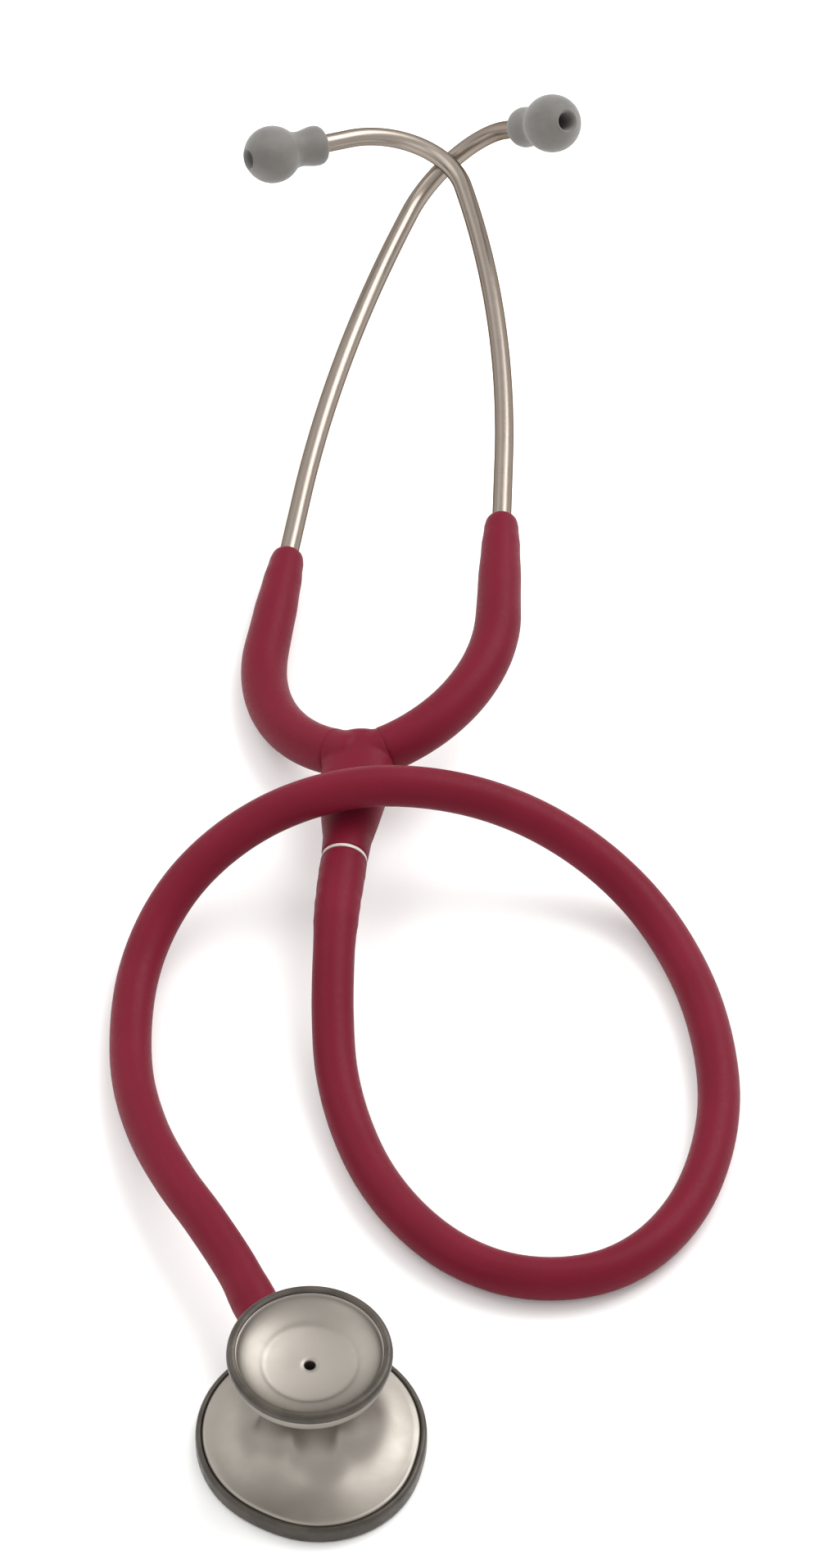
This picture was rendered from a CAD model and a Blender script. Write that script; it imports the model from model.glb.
import math

import bmesh
import bpy
from mathutils import Matrix, Vector


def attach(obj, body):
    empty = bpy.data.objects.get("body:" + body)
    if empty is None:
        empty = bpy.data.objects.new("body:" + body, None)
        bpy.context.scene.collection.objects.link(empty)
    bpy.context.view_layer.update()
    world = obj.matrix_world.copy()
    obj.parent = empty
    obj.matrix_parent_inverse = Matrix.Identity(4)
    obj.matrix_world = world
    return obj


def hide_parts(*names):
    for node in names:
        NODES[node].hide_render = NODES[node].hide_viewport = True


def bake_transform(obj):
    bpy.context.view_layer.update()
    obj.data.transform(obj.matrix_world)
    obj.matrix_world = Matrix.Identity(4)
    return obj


# Stethoscope lying on a table, in metres. The diaphragm's face is at the origin, on the table,
# and the headset lies towards +Y. Sizes written in millimetres are multiplied by MM.
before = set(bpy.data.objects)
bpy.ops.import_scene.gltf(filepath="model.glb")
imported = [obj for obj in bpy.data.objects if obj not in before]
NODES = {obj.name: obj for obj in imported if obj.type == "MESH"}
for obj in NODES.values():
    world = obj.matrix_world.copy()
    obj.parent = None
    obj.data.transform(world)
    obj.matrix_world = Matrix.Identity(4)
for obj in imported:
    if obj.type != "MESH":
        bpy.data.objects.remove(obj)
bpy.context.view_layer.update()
MM = 0.001

# Chestpiece, in millimetres and degrees
DISC_R = 26
TIP_R = 23
TIP_SHIFT = 4.8
DROP_SHARPNESS = 90
STEM_HEADING = 124
STEM_Z = 13.5
PLATE_TOP = 5
COVE_R = 14.5
COVE_START = 10
COVE_FLATNESS = 1.35
FLARE_R = 11.2
FLARE_ANGLE = 62
RING_SIDES = 180
# The neck's hollows: heading, depth, width in degrees, height of the middle and half height
HOLLOWS = [
    (STEM_HEADING + 129, 2.9, 20, 13, 9),
    (STEM_HEADING + 198, 2.9, 20, 13, 9),
    (STEM_HEADING - 62, 2.6, 18, 13, 6),
    (STEM_HEADING + 62, 2.6, 18, 13, 6),
]
# They fade out between these heights
HOLLOW_FADE = [(17, 1), (30, 0)]

# Headset, in millimetres and degrees
JUNCTION_AT = (-24, 194, 16.5)
HEADSET_YAW = 4
HEADSET_ROLL = -10.6
STEM_LENGTH = 35
ARM_ROOT = 6
ARM_START_ANGLE = 26
ARM_BEND_R = 44
ARM_BEND = 67.5
ARM_STRAIGHT = 32
ARM_LIP = 1.6
TUBE_STRAIGHT = 52
TUBE_BOW_R = 380
TUBE_BOW = 15.3
TIP_PLANE = 19
TIP_BEND_R = 21.5
TIP_BEND = 103
TIP_STRAIGHT = 22.7
EAR_TUBE_R = 2.4
EARTIP_R = 7.6
LEAF_OFFSET = 3.85
SIDES = {
    "left": {"sign": -1, "pitch": 0.7, "twist": 14.5},
    "right": {"sign": 1, "pitch": 2.9, "twist": 0.5},
}

# Tubing, in metres. The barbs are millimetres along it, from the yoke and from the stem.
TUBE_R = 5 * MM
PLUG_BARBS = (4, 9, 14, 19)
STEM_BARBS = (4, 8.5)
BARB_WIDTH = 1.1
ROUTE = [
    (-0.0215, 0.1583, 0.0165), (-0.0204, 0.143, 0.0162), (-0.0186, 0.1285, 0.014),
    (-0.0162, 0.1145, 0.0106), (-0.0128, 0.101, 0.0074), (-0.007, 0.0873, 0.0055),
    (0.001, 0.074, 0.0051), (0.011, 0.063, 0.0051), (0.0225, 0.055, 0.0051),
    (0.035, 0.051, 0.0051), (0.0475, 0.0515, 0.0051), (0.059, 0.0562, 0.0051),
    (0.068, 0.0652, 0.0051), (0.0742, 0.078, 0.0051), (0.077, 0.093, 0.0051),
    (0.0768, 0.109, 0.0051), (0.0734, 0.125, 0.0051), (0.0676, 0.1405, 0.0051),
    (0.06, 0.154, 0.0054), (0.0512, 0.1642, 0.0076), (0.0414, 0.1708, 0.0116),
    (0.0308, 0.1744, 0.0167), (0.0196, 0.1758, 0.0218), (0.0076, 0.1756, 0.026),
    (-0.005, 0.1744, 0.0283), (-0.0176, 0.1722, 0.0287), (-0.0296, 0.1682, 0.0274),
    (-0.041, 0.1628, 0.024), (-0.0508, 0.1558, 0.0192), (-0.0584, 0.147, 0.014),
    (-0.0632, 0.1362, 0.0092), (-0.065, 0.123, 0.006), (-0.0636, 0.1075, 0.0052),
    (-0.0596, 0.091, 0.006), (-0.0524, 0.0745, 0.0086), (-0.0432, 0.06, 0.0113),
    (-0.0336, 0.048, 0.013), (-0.0243, 0.0361, 0.0135), (-0.0173, 0.0257, 0.0135),
    (-0.0134, 0.0199, 0.0135),
]

# Floor: millimetres under the diaphragm's face, so that the two never share a plane, and half
# of its width in metres
FLOOR_DROP = 0.05
FLOOR_HALF = 4

# Camera, in metres, degrees and millimetres of lens
TARGET = Vector((-0.0129, 0.2001, 0))
ELEVATION = 48
AZIMUTH = 10
DISTANCE = 1.5
LENS = 139.65


# ---- Camera, floor and light ----


def make_camera():
    e = math.radians(ELEVATION)
    a = math.radians(AZIMUTH)
    back = Vector((math.sin(a) * math.cos(e), -math.cos(a) * math.cos(e), math.sin(e)))
    data = bpy.data.cameras.new("camera")
    data.lens = LENS
    data.sensor_width = 36
    data.clip_end = 20
    camera = bpy.data.objects.new("camera", data)
    camera.location = TARGET + back * DISTANCE
    camera.rotation_euler = (-back).to_track_quat("-Z", "Y").to_euler()
    bpy.context.collection.objects.link(camera)
    bpy.context.scene.camera = camera


def softbox(name, place, size, power):
    """A square white light at place, in metres and watts, aimed at the middle of the object."""
    data = bpy.data.lights.new(name, "AREA")
    data.size = size
    data.energy = power
    light = bpy.data.objects.new(name, data)
    light.location = place
    aim = Vector((0, 0.15, 0)) - Vector(place)
    light.rotation_euler = aim.to_track_quat("-Z", "Y").to_euler()
    bpy.context.collection.objects.link(light)


def make_lights():
    softbox("key_light", (0.7, 1.0, 1.4), 1.3, 24)
    softbox("front_light", (-0.9, -1.0, 1.3), 1.2, 4)
    softbox("left_light", (-1.1, 0.6, 1.3), 1.2, 6)
    world = bpy.data.worlds.new("studio")
    world.use_nodes = True
    background = world.node_tree.nodes["Background"]
    background.inputs["Color"].default_value = (1, 0.995, 0.985, 1)
    background.inputs["Strength"].default_value = 1.0
    bpy.context.scene.world = world
    bpy.context.scene.view_settings.view_transform = "Standard"


def make_floor():
    half = FLOOR_HALF
    mesh = bpy.data.meshes.new("floor")
    corners = [(-half, -half, 0), (half, -half, 0), (half, half, 0), (-half, half, 0)]
    mesh.from_pydata(corners, [], [(0, 1, 2, 3)])
    floor = bpy.data.objects.new("floor", mesh)
    floor.location.z = -FLOOR_DROP * MM
    bpy.context.collection.objects.link(floor)
    mesh.materials.append(floor_material())


# ---- Materials ----


class Shader:
    """A material around one Principled shader, with short ways to add nodes to it."""

    def __init__(self, name):
        self.material = bpy.data.materials.new(name)
        self.material.use_nodes = True
        self.tree = self.material.node_tree
        self.bsdf = self.tree.nodes["Principled BSDF"]
        self.coord = self.tree.nodes.new("ShaderNodeTexCoord")

    def set(self, **values):
        for key, value in values.items():
            self.bsdf.inputs[key.replace("_", " ")].default_value = value
        return self

    def noise(self, scale, detail, stretch=None):
        """Noise over the surface. stretch gives UV scales, for grain that runs along a tube."""
        node = self.tree.nodes.new("ShaderNodeTexNoise")
        node.inputs["Scale"].default_value = scale
        node.inputs["Detail"].default_value = detail
        source = self.coord.outputs["Object"]
        if stretch:
            mapping = self.tree.nodes.new("ShaderNodeMapping")
            mapping.inputs["Scale"].default_value = stretch
            self.tree.links.new(self.coord.outputs["UV"], mapping.inputs["Vector"])
            source = mapping.outputs["Vector"]
        self.tree.links.new(source, node.inputs["Vector"])
        return node.outputs["Fac"]

    def ramp(self, value, stops):
        """Colours, or greys, at places from 0 to 1."""
        node = self.tree.nodes.new("ShaderNodeValToRGB")
        elements = node.color_ramp.elements
        while len(elements) < len(stops):
            elements.new(0.5)
        for element, (place, colour) in zip(elements, stops):
            element.position = place
            element.color = (*colour, 1)
        self.tree.links.new(value, node.inputs["Fac"])
        return node.outputs["Color"]

    def spread(self, value, low, high):
        """Noise, which mostly stays between 0.3 and 0.7, stretched from low to high."""
        node = self.tree.nodes.new("ShaderNodeMapRange")
        node.inputs["From Min"].default_value = 0.3
        node.inputs["From Max"].default_value = 0.7
        node.inputs["To Min"].default_value = low
        node.inputs["To Max"].default_value = high
        self.tree.links.new(value, node.inputs["Value"])
        return node.outputs["Result"]

    def mix(self, amount, first, second):
        """From the first colour to the second, as amount goes from 0 to 1."""
        node = self.tree.nodes.new("ShaderNodeMix")
        node.data_type = "RGBA"
        self.tree.links.new(amount, node.inputs[0])
        self.tree.links.new(first, node.inputs[6])
        self.tree.links.new(second, node.inputs[7])
        return node.outputs[2]

    def colour(self, output):
        self.tree.links.new(output, self.bsdf.inputs["Base Color"])
        return self

    def rough(self, value, low, high):
        self.tree.links.new(self.spread(value, low, high), self.bsdf.inputs["Roughness"])
        return self

    def bump(self, *layers):
        """Layers of (height, strength, depth in metres), one on top of the other."""
        before = None
        for height, strength, depth in layers:
            node = self.tree.nodes.new("ShaderNodeBump")
            node.inputs["Strength"].default_value = strength
            node.inputs["Distance"].default_value = depth
            self.tree.links.new(height, node.inputs["Height"])
            if before:
                self.tree.links.new(before, node.inputs["Normal"])
            before = node.outputs["Normal"]
        self.tree.links.new(before, self.bsdf.inputs["Normal"])
        return self


def tubing_material():
    """Satin PVC: slow colour drift, fine moulded grain and faint lines along the tube."""
    s = Shader("burgundy_pvc")
    s.set(IOR=1.5, Specular_IOR_Level=0.1)
    drift = s.ramp(s.noise(45, 4), [(0.3, (0.121, 0.0048, 0.0155)), (0.7, (0.148, 0.0066, 0.0205))])
    grain = s.noise(3800, 2)
    pores = s.noise(900, 4)
    lines = s.noise(1, 3, stretch=(140, 6, 1))
    flecks = s.ramp(grain, [(0.4, (0.105, 0.0036, 0.0125)), (0.7, (0.162, 0.0085, 0.024))])
    s.colour(s.mix(s.spread(lines, 0, 0.35), drift, flecks))
    s.rough(pores, 0.42, 0.54)
    s.bump((lines, 0.12, 0.00004), (pores, 0.25, 0.00003), (grain, 0.25, 0.000015))
    return s.material


def satin_metal():
    """Bead-blasted metal: a fine even grain with a slight drift of colour and gloss."""
    s = Shader("satin_metal")
    s.set(Metallic=1.0, Specular_Tint=(0.6, 0.57, 0.54, 1))
    s.colour(s.ramp(s.noise(70, 5), [(0.3, (0.262, 0.24, 0.213)), (0.7, (0.292, 0.269, 0.24))]))
    blast = s.noise(5200, 2)
    s.rough(s.noise(260, 4), 0.42, 0.48)
    s.bump((s.noise(1300, 3), 0.12, 0.00002), (blast, 0.35, 0.00001))
    return s.material


def ear_tube_material():
    """Anodised tube: drawn lines along its length, and darker where it turns away."""
    s = Shader("anodised_tube")
    s.set(Metallic=1.0, Specular_Tint=(0.22, 0.19, 0.17, 1))
    lines = s.noise(1, 2, stretch=(60, 8, 1))
    s.colour(s.ramp(lines, [(0.3, (0.272, 0.232, 0.2)), (0.7, (0.315, 0.272, 0.236))]))
    s.rough(s.noise(300, 3), 0.27, 0.34)
    s.bump((lines, 0.1, 0.000004), (s.noise(6000, 2), 0.1, 0.000003))
    return s.material


def dark_ring_material():
    """Dark satin coating on the rings, with a fine grain and slightly rubbed patches."""
    s = Shader("dark_coating")
    s.set(Metallic=0.3, Specular_IOR_Level=0.3)
    s.colour(s.ramp(s.noise(180, 5), [(0.35, (0.042, 0.035, 0.028)), (0.7, (0.075, 0.062, 0.051))]))
    s.rough(s.noise(700, 3), 0.3, 0.44)
    s.bump((s.noise(3000, 3), 0.25, 0.00001))
    return s.material


def rubber_material(name, low, high, roughness=(0.52, 0.68)):
    """Matt soft rubber with pores and a faint bloom."""
    s = Shader(name)
    s.set(Sheen_Weight=0.2, Sheen_Roughness=0.6, Specular_IOR_Level=0.38)
    s.colour(s.ramp(s.noise(160, 5), [(0.3, low), (0.7, high)]))
    s.rough(s.noise(600, 4), *roughness)
    s.bump((s.noise(500, 4), 0.25, 0.00004), (s.noise(3200, 2), 0.35, 0.00002))
    return s.material


def steel_material():
    """Rolled spring steel, with short scratches and a slight tint."""
    s = Shader("spring_steel")
    s.set(Metallic=1.0)
    s.colour(s.ramp(s.noise(300, 5), [(0.3, (0.42, 0.42, 0.43)), (0.7, (0.56, 0.56, 0.55))]))
    s.rough(s.noise(1500, 4), 0.2, 0.38)
    s.bump((s.noise(2600, 4), 0.3, 0.00001))
    return s.material


def connector_material():
    """Pale moulded plug between the yoke and the tubing."""
    s = Shader("pale_plug")
    s.set(Specular_IOR_Level=0.5)
    s.colour(s.ramp(s.noise(220, 4), [(0.3, (0.46, 0.41, 0.385)), (0.7, (0.55, 0.5, 0.47))]))
    s.rough(s.noise(900, 3), 0.35, 0.48)
    s.bump((s.noise(2400, 3), 0.2, 0.00001))
    return s.material


def film_material():
    """Stiff laminated diaphragm: fine uneven bands just under a smooth coat."""
    s = Shader("diaphragm_film")
    s.set(Specular_IOR_Level=0.5, Coat_Weight=0.3, Coat_Roughness=0.2)
    wave = s.tree.nodes.new("ShaderNodeTexWave")
    wave.inputs["Scale"].default_value = 420
    wave.inputs["Distortion"].default_value = 0.6
    s.tree.links.new(s.coord.outputs["Object"], wave.inputs["Vector"])
    s.colour(s.ramp(wave.outputs["Fac"], [(0.2, (0.42, 0.405, 0.37)), (0.8, (0.5, 0.485, 0.45))]))
    s.rough(s.noise(800, 3), 0.28, 0.42)
    s.bump((wave.outputs["Fac"], 0.2, 0.00001), (s.noise(2500, 2), 0.15, 0.00001))
    return s.material


def floor_material():
    s = Shader("pale_floor")
    s.set(Specular_IOR_Level=0.1)
    s.colour(s.ramp(s.noise(3, 2), [(0.3, (0.93, 0.93, 0.925)), (0.7, (0.95, 0.95, 0.945))]))
    s.rough(s.noise(8, 2), 0.8, 0.9)
    return s.material


# ---- Mesh helpers ----


def smoothed(points, steps):
    """A smooth line through points, by the same spline as the part's own tubing."""
    line = []
    last = len(points) - 1
    for i in range(last):
        a, b = Vector(points[max(0, i - 1)]), Vector(points[i])
        c, d = Vector(points[i + 1]), Vector(points[min(last, i + 2)])
        for k in range(steps):
            t = k / steps
            line.append(0.5 * (2 * b + (c - a) * t + (2 * a - 5 * b + 4 * c - d) * t**2
                               + (3 * b - a - 3 * c + d) * t**3))
    line.append(Vector(points[-1]))
    return line


def lengths(line):
    """Distance along a line, at each of its points."""
    total = [0.0]
    for a, b in zip(line, line[1:]):
        total.append(total[-1] + (b - a).length)
    return total


def between(value, table):
    """The height at value of a curve through (place, height) pairs, eased between them."""
    if value <= table[0][0]:
        return table[0][1]
    for (x0, y0), (x1, y1) in zip(table, table[1:]):
        if value <= x1:
            t = (value - x0) / (x1 - x0)
            return y0 + (y1 - y0) * t * t * (3 - 2 * t)
    return table[-1][1]


def shell(name, rings, material, wrap=False, flat_angle=50, along=None):
    """A mesh from rings of points. The ends are capped, or with wrap the last ring joins the first.
    along gives the UV height of each ring, in metres."""
    count = len(rings[0])
    points = [p for ring in rings for p in ring]
    rows = len(rings)
    faces = []
    uvs = []
    for i in range(rows if wrap else rows - 1):
        j = (i + 1) % rows
        low = along[i] if along else i / rows
        high = along[i + 1] if along else (i + 1) / rows
        for k in range(count):
            n = (k + 1) % count
            faces.append((i * count + k, j * count + k, j * count + n, i * count + n))
            u, v = k / count, (k + 1) / count
            uvs += [(u, low), (u, high), (v, high), (v, low)]
    if not wrap:
        for row in (0, rows - 1):
            faces.append(tuple(row * count + k for k in range(count)))
            uvs += [(0, 0)] * count
    mesh = bpy.data.meshes.new(name)
    mesh.from_pydata([tuple(p) for p in points], [], faces)
    layer = mesh.uv_layers.new(name="UVMap")
    for loop, uv in zip(layer.data, uvs):
        loop.uv = uv
    work = bmesh.new()
    work.from_mesh(mesh)
    bmesh.ops.recalc_face_normals(work, faces=work.faces)
    work.to_mesh(mesh)
    work.free()
    finish_mesh(mesh, flat_angle)
    mesh.materials.append(material)
    piece = bpy.data.objects.new(name, mesh)
    bpy.context.collection.objects.link(piece)
    return piece


def finish_mesh(mesh, flat_angle):
    mesh.polygons.foreach_set("use_smooth", [True] * len(mesh.polygons))
    mesh.set_sharp_from_angle(angle=math.radians(flat_angle))


def cross_frames(line):
    """At each point of a line, two side vectors, carried along it without twist."""
    side = None
    result = []
    for i in range(len(line)):
        ahead = (line[min(i + 1, len(line) - 1)] - line[max(i - 1, 0)]).normalized()
        if side is None:
            side = ahead.orthogonal()
        side = (side - ahead * side.dot(ahead)).normalized()
        result.append((side, ahead.cross(side)))
    return result


def sweep(name, line, radius, material, sides=32):
    """A tube along a line. radius is a function of the distance along it, in metres."""
    reach = lengths(line)
    rings = []
    for point, (x, y), s in zip(line, cross_frames(line), reach):
        r = radius(s)
        angles = [2 * math.pi * k / sides for k in range(sides)]
        rings.append([point + r * (math.cos(a) * x + math.sin(a) * y) for a in angles])
    return shell(name, rings, material, along=reach)


def lathe(name, profile, place, material, sides=64, wrap=False, flat_angle=50):
    """A shape turned about +X from (x, r) pairs in millimetres, put in place by a matrix."""
    rings = []
    for x, r in profile:
        angles = [2 * math.pi * k / sides for k in range(sides)]
        rings.append([place @ (Vector((x, r * math.cos(a), r * math.sin(a))) * MM) for a in angles])
    return shell(name, rings, material, wrap=wrap, flat_angle=flat_angle)


# ---- Places on the headset ----


def turn(angle, axis):
    return Matrix.Rotation(math.radians(angle), 4, axis)


def move(x, y, z):
    return Matrix.Translation(Vector((x, y, z)) * MM)


def headset():
    return move(*JUNCTION_AT) @ turn(HEADSET_YAW, "Z") @ turn(HEADSET_ROLL, "Y")


def arm_start(side):
    """Start of a yoke arm, with +X along it."""
    facts = SIDES[side]
    mirror = Matrix.Diagonal((facts["sign"], 1, 1, 1))
    return (headset() @ mirror @ move(ARM_ROOT, 0, 0) @ turn(facts["pitch"], "X")
            @ turn(facts["twist"], "Y") @ turn(ARM_START_ANGLE, "Z"))


def after_bend(radius, angle):
    return move(0, radius, 0) @ turn(angle, "Z") @ move(0, -radius, 0)


def bend_points(place, radius, angle, count, inner=0):
    """Points along a bend that starts along +X and turns towards +Y."""
    line = []
    for k in range(count + 1):
        a = math.radians(angle) * k / count
        x = (radius - inner) * math.sin(a)
        y = radius - (radius - inner) * math.cos(a)
        line.append(place @ (Vector((x, y, 0)) * MM))
    return line


def straight_points(place, start, end, count):
    return [place @ (Vector((start + (end - start) * k / count, 0, 0)) * MM) for k in range(count + 1)]


def straight_start(side):
    return arm_start(side) @ after_bend(ARM_BEND_R, ARM_BEND)


def eartip_place(side):
    """Centre of an ear tip's ball, with +X out of its hole."""
    return (straight_start(side) @ move(TUBE_STRAIGHT, 0, 0) @ after_bend(TUBE_BOW_R, TUBE_BOW)
            @ turn(TIP_PLANE, "X") @ after_bend(TIP_BEND_R, TIP_BEND) @ move(TIP_STRAIGHT, 0, 0))


# ---- Tubing ----


def tubing_radius(s, total):
    """Outer radius along the tubing: stretched over the plug's barbs at the start, and over
    the metal stem's at the end. Both of its edges are rounded."""
    edge_width = 0.5
    edge_depth = 0.35
    d = s / MM
    left = (total - s) / MM
    r = TUBE_R / MM
    r += between(d, [(0, 0.62), (6, 0.58), (14, 0.42), (28, 0)])
    for ridge in PLUG_BARBS:
        r += 0.1 * math.exp(-(((d - ridge) / BARB_WIDTH) ** 2))
    r += between(left, [(0, 0.35), (10, 0.3), (16, 0)])
    for ridge in STEM_BARBS:
        r += 0.07 * math.exp(-(((left - ridge) / BARB_WIDTH) ** 2))
    edge = min(d, left)
    if edge < edge_width:
        r -= edge_depth * (1 - edge / edge_width) ** 2
    return r * MM


def make_tubing(material):
    line = smoothed(ROUTE, 12)
    start, end = line[0], line[-1]
    for share in (0.75, 0.5, 0.25, 0.1):
        line.insert(1, start.lerp(line[1], share))
        line.insert(-1, end.lerp(line[-2], share))
    total = lengths(line)[-1]
    tube = sweep("tubing_skin", line, lambda s: tubing_radius(s, total), material, sides=40)
    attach(tube, "root")
    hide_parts("tubing")


# ---- Yoke ----


def arm_radius(s):
    """Outer radius along a yoke arm: thick through the bend, then a taper to a rounded lip."""
    root = 0.35 * MM
    root_depth = 0.3
    lip_depth = 1.2
    r = between(s / MM, [(0, 5.8), (4, 5.75), (46, 5.75), (63, 5.4), (74, 4.9), (80, 4.4), (84, 3.8)])
    bend_length = math.radians(ARM_BEND) * ARM_BEND_R
    left = bend_length + ARM_STRAIGHT - s / MM
    if left < ARM_LIP:
        r -= lip_depth * (1 - math.sqrt(max(0, 1 - (1 - left / ARM_LIP) ** 2)))
    if s < root:
        r -= root_depth * (1 - s / root)
    return r * MM


def make_arm(side, material):
    line = bend_points(arm_start(side), ARM_BEND_R, ARM_BEND, 44)
    line.insert(1, line[0].lerp(line[1], 0.3))
    lip_start = ARM_STRAIGHT - ARM_LIP
    tail = straight_points(straight_start(side), 0, lip_start, 20)[1:]
    tail += straight_points(straight_start(side), lip_start, ARM_STRAIGHT, 8)[1:]
    arm = sweep("yoke_arm_" + side + "_skin", line + tail, arm_radius, material, sides=40)
    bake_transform(arm)
    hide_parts("yoke_arm_" + side)


def make_leaf(side, material):
    """One half of the bent steel strip, from the junction's middle to its clamp."""
    width = 4 * MM
    thick = 0.6 * MM
    middle_bow = 1.6
    clamp_places = (4, 8, 11)
    middle = headset() @ (Vector((0, LEAF_OFFSET - middle_bow, 0)) * MM)
    bend = bend_points(arm_start(side), ARM_BEND_R, ARM_BEND, 30, inner=LEAF_OFFSET)
    tail = [straight_start(side) @ (Vector((x, LEAF_OFFSET, 0)) * MM) for x in clamp_places]
    line = [middle] + bend + tail
    up = (arm_start(side).to_3x3() @ Vector((0, 0, 1))).normalized()
    rings = []
    for i, point in enumerate(line):
        ahead = (line[min(i + 1, len(line) - 1)] - line[max(i - 1, 0)]).normalized()
        flat = (up - ahead * up.dot(ahead)).normalized()
        out = ahead.cross(flat)
        rings.append([point + flat * (width / 2 * a) + out * (thick / 2 * b)
                      for a, b in ((-1, -0.6), (-0.9, -1), (0.9, -1), (1, -0.6),
                                   (1, 0.6), (0.9, 1), (-0.9, 1), (-1, 0.6))])
    strip = shell("leaf_spring_" + side + "_half", rings, material, flat_angle=30)
    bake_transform(strip)
    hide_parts("leaf_spring")


def oval(place, half_width, half_thick):
    """A ring of points around a place, across its +Y axis: a rounded box in section."""
    sides = 40
    power = 2.2
    ring = []
    for k in range(sides):
        a = 2 * math.pi * k / sides
        c, s = math.cos(a), math.sin(a)
        x = half_width * math.copysign(abs(c) ** (2 / power), c)
        z = half_thick * math.copysign(abs(s) ** (2 / power), s)
        ring.append(place @ (Vector((x, 0, z)) * MM))
    return ring


def fused(name, parts, material, voxel, rounds):
    """Joins closed shells into one skin, remade in cubes of voxel millimetres and smoothed."""
    bpy.context.view_layer.update()
    joined = bmesh.new()
    for part in parts:
        joined.from_mesh(part.data)
        bpy.data.objects.remove(part)
    mesh = bpy.data.meshes.new(name)
    joined.to_mesh(mesh)
    joined.free()
    work = bpy.data.objects.new(name + "_work", mesh)
    bpy.context.collection.objects.link(work)
    remesh = work.modifiers.new("remesh", "REMESH")
    remesh.mode = "VOXEL"
    remesh.voxel_size = voxel * MM
    soften = work.modifiers.new("soften", "SMOOTH")
    soften.factor = 0.5
    soften.iterations = rounds
    ready = work.evaluated_get(bpy.context.evaluated_depsgraph_get())
    skin = bpy.data.meshes.new_from_object(ready)
    skin.name = name
    bpy.data.objects.remove(work)
    finish_mesh(skin, 80)
    skin.materials.clear()
    skin.materials.append(material)
    piece = bpy.data.objects.new(name, skin)
    bpy.context.collection.objects.link(piece)
    return piece


def make_junction(material):
    """The moulded block where both arms and the stem meet, blended into one skin. Its sections
    are (place along the stem, half width, half thickness)."""
    sections = [
        (-STEM_LENGTH, 5.6, 5.6), (-STEM_LENGTH + 6, 5.9, 5.6), (-24, 6.9, 5.6), (-17, 8.1, 5.6),
        (-11, 9, 5.7), (-5, 8.8, 5.8), (0, 7.8, 5.8), (2.4, 6.6, 5.3), (3.8, 5.6, 4.3),
        (4.5, 4.4, 3.1), (4.7, 2.6, 1.7),
    ]
    rings = [oval(headset() @ move(0, v, 0), w, t) for v, w, t in sections]
    parts = [shell("junction_stem", rings, material)]
    for side in SIDES:
        stub = [(-7, 3.5), (-6.6, 5.2), (-5, 5.75), (0.6, 5.75)]
        parts.append(lathe("junction_stub", stub, arm_start(side), material, sides=40))
    block = fused("yoke_junction_skin", parts, material, voxel=0.4, rounds=14)
    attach(block, "root")
    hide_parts("yoke_junction")


# ---- Ear tubes and ear tips ----


def make_ear_tube(side, material):
    """The bent metal tube, from inside the yoke arm to just below the centre of the ear tip."""
    below_centre = 5.5
    place = straight_start(side)
    line = straight_points(place, 1, TUBE_STRAIGHT, 24)
    place = place @ move(TUBE_STRAIGHT, 0, 0)
    line += bend_points(place, TUBE_BOW_R, TUBE_BOW, 40)[1:]
    place = place @ after_bend(TUBE_BOW_R, TUBE_BOW) @ turn(TIP_PLANE, "X")
    line += bend_points(place, TIP_BEND_R, TIP_BEND, 44)[1:]
    line += straight_points(eartip_place(side), -TIP_STRAIGHT, -below_centre, 8)[1:]
    tube = sweep("ear_tube_" + side + "_skin", line, lambda s: EAR_TUBE_R * MM, material)
    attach(tube, "binaural_" + side)
    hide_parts("ear_tube_" + side)


def make_eartip(side, material):
    """A soft ball with a flared sound hole, a waist and a rounded base."""
    mouth = [(-4.2, 1.75), (0, 1.85), (4.4, 2.1), (5.9, 2.25), (6.6, 2.45), (6.95, 2.75), (7.05, 3.05)]
    ball = []
    for degrees in range(25, 136, 5):
        a = math.radians(degrees)
        ball.append((EARTIP_R * math.cos(a), EARTIP_R * math.sin(a)))
    neck = [(-6.2, 4.93), (-7.1, 4.72), (-8.1, 4.68), (-9.2, 4.82), (-10.4, 5.08), (-11.6, 5.3),
            (-12.8, 5.35), (-13.8, 5.12), (-14.5, 4.6), (-14.9, 3.9), (-15.05, 3.1), (-15.05, 2.45)]
    tip = lathe("eartip_" + side + "_skin", mouth + ball + neck, eartip_place(side), material,
                sides=56, flat_angle=75)
    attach(tip, "binaural_" + side)
    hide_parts("eartip_" + side)


# ---- Chestpiece ----


def drop_radius(angle, big, small):
    """Radius at an angle, in degrees, of a circle joined smoothly to a smaller, shifted one."""
    a = math.radians(angle - STEM_HEADING - 180)
    across = small**2 - (TIP_SHIFT * math.sin(a)) ** 2
    shifted = TIP_SHIFT * math.cos(a) + math.sqrt(across)
    return (big**DROP_SHARPNESS + shifted**DROP_SHARPNESS) ** (1 / DROP_SHARPNESS)


def hollow_depth(angle, z):
    """How far the neck's hollows go in, at an angle in degrees and a height."""
    depth = 0
    for heading, deep, wide, middle, half in HOLLOWS:
        off = (angle - heading + 180) % 360 - 180
        depth += deep * math.exp(-((off / wide) ** 2) - ((z - middle) / half) ** 2)
    return depth * between(z, HOLLOW_FADE)


def ring_around(z, radius_at):
    """A ring about +Z at height z. radius_at gives the radius at an angle in degrees."""
    ring = []
    for k in range(RING_SIDES):
        angle = 360 * k / RING_SIDES
        radius = radius_at(angle)
        a = math.radians(angle)
        ring.append(Vector((radius * math.cos(a), radius * math.sin(a), z)) * MM)
    return ring


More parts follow.
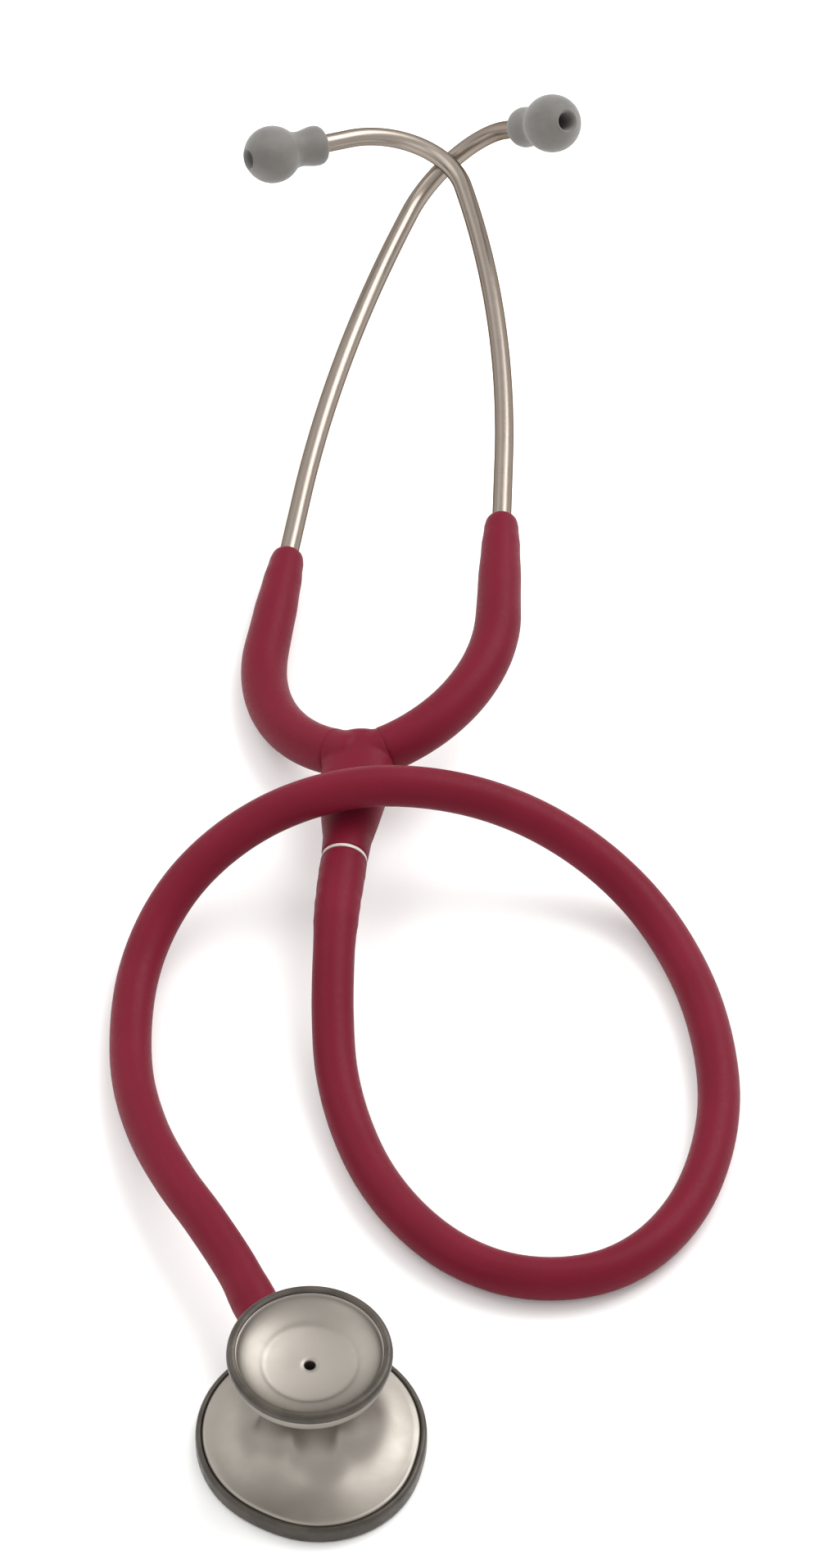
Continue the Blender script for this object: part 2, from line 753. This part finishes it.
def body_rows():
    """(share of the drop outline from 0 to 1, radius, height) along the body's surface, from the
    plate's edge up the neck and down into the bell's cup. A radius below 0 is an inset from the
    drop outline."""
    cove_rows = 29
    drop_rows = 12
    flare_rows = 15
    rows = []
    for z, inset in ((1, 1.7), (1, 1.45), (4.2, 1.45), (4.75, 1.6), (5.0, 1.95), (5.0, 2.4)):
        rows.append((1, -inset, z))
    for k in range(cove_rows + 1):
        a = math.radians(COVE_START + (90 - COVE_START) * k / cove_rows)
        r = DISC_R - COVE_R * math.sin(a)
        z = PLATE_TOP + COVE_R * (1 - math.cos(a)) ** COVE_FLATNESS
        share = max(0, 1 - k / drop_rows)
        rows.append((share * share * (3 - 2 * share), r, z))
    waist_r = DISC_R - COVE_R
    waist_z = PLATE_TOP + COVE_R
    for k in range(1, flare_rows + 1):
        a = math.radians(FLARE_ANGLE * k / flare_rows)
        rows.append((0, waist_r + FLARE_R * (1 - math.cos(a)), waist_z + FLARE_R * math.sin(a)))
    bell = [(16.9, 30.1), (16.98, 31), (17, 32), (17, 33.6), (16.92, 33.85), (16.7, 33.98),
            (16.4, 33.95), (16.15, 33.75), (15.95, 33.35), (15.6, 32.85), (15, 32.35), (14, 31.75),
            (12.8, 31.2), (11.8, 30.82), (11.3, 30.62), (10.9, 30.42), (10.5, 30.2), (10.1, 30.05),
            (9.4, 29.92), (7, 29.66), (4.5, 29.48), (2.4, 29.45), (1.5, 29.42), (1.25, 29.25),
            (1.2, 28.8), (1.2, 24)]
    return rows + [(0, r, z) for r, z in bell]


def body_radius(angle, share, r, z):
    """Radius of a row of the body at an angle in degrees."""
    outline = drop_radius(angle, DISC_R, TIP_R)
    if r < 0:
        return outline + r
    return r + share * (outline - DISC_R) - hollow_depth(angle, z)


def make_chest_body(material):
    """The machined body, and the boss on its side that the stem turns in."""
    rings = []
    for share, r, z in body_rows():
        rings.append(ring_around(z, lambda angle: body_radius(angle, share, r, z)))
    body = shell("chestpiece_body_skin", rings, material, flat_angle=55)
    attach(body, "chestpiece")
    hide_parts("chestpiece_body")
    place = move(0, 0, STEM_Z) @ turn(STEM_HEADING, "Z")
    boss_profile = [(8, 9.5), (11.4, 8.6), (12.2, 7.6), (13.2, 6.9), (14.6, 6.4), (16.4, 6.2),
                    (18.9, 6.2), (19.3, 6.1), (19.5, 5.8), (19.5, 3.6), (17, 3.6)]
    boss = lathe("chestpiece_boss", boss_profile, place, material, flat_angle=35)
    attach(boss, "chestpiece")


def make_bell_rim(material):
    place = turn(-90, "Y")
    profile = [(32, 17.05), (33.9, 17.04), (34.1, 16.75), (34.18, 16.5), (34.34, 16.42),
               (34.52, 16.62), (34.64, 17.1), (34.62, 17.6), (34.42, 18.1), (34.0, 18.36),
               (33.4, 18.45), (32.8, 18.42), (32.3, 18.25), (32.02, 17.9), (31.95, 17.5)]
    rim = lathe("bell_rim_skin", profile, place, material, sides=128, wrap=True, flat_angle=60)
    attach(rim, "chestpiece")
    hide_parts("bell_rim")


def make_diaphragm_rim(material):
    """The dark ring around the drop outline, rolled in at its top and under its lower edge. Its
    profile is (inset from the outline, height), and its inner wall is round."""
    inner_r = 24.45
    profile = [(1.4, 0.95), (1.4, 4.3), (1.25, 4.72), (0.95, 4.88), (0.6, 4.85), (0.25, 4.6),
               (0.06, 4.2), (0, 3.6), (0, 1.2), (0.08, 0.6), (0.3, 0.2), (0.65, 0.02), (1.0, 0)]
    rings = []
    for inset, z in profile:
        rings.append(ring_around(z, lambda angle: drop_radius(angle, DISC_R, TIP_R) - inset))
    for z in (0.03, 0.25, 0.95):
        rings.append(ring_around(z, lambda angle: inner_r))
    rim = shell("diaphragm_rim_skin", rings, material, wrap=True, flat_angle=60)
    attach(rim, "chestpiece")
    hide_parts("diaphragm_rim")


# ---- Everything ----


def repaint(material, *names):
    """A better material on CAD nodes that stay as they are."""
    for name in names:
        for spot in NODES[name].material_slots:
            spot.material = material


def make_pieces():
    pvc = tubing_material()
    make_tubing(pvc)
    steel = steel_material()
    metal = satin_metal()
    tube_metal = ear_tube_material()
    tip_rubber = rubber_material("eartip_rubber", (0.098, 0.092, 0.084), (0.135, 0.128, 0.117))
    for side in SIDES:
        make_arm(side, pvc)
        make_leaf(side, steel)
        make_ear_tube(side, tube_metal)
        make_eartip(side, tip_rubber)
        repaint(steel, "spring_clamp_" + side, "eartip_sleeve_" + side)
    make_junction(pvc)
    make_chest_body(metal)
    dark = dark_ring_material()
    make_bell_rim(dark)
    make_diaphragm_rim(dark)
    repaint(metal, "chestpiece_stem")
    repaint(steel, "stem_retaining_ring", "detent_ball", "detent_spring")
    repaint(connector_material(), "yoke_connector")
    repaint(film_material(), "diaphragm")
    repaint(rubber_material("surround_rubber", (0.09, 0.088, 0.085), (0.13, 0.126, 0.12)),
            "diaphragm_surround")
    repaint(rubber_material("o_ring_rubber", (0.012, 0.012, 0.012), (0.03, 0.03, 0.03), (0.4, 0.55)),
            "stem_o_ring")


make_camera()
make_pieces()
make_floor()
make_lights()
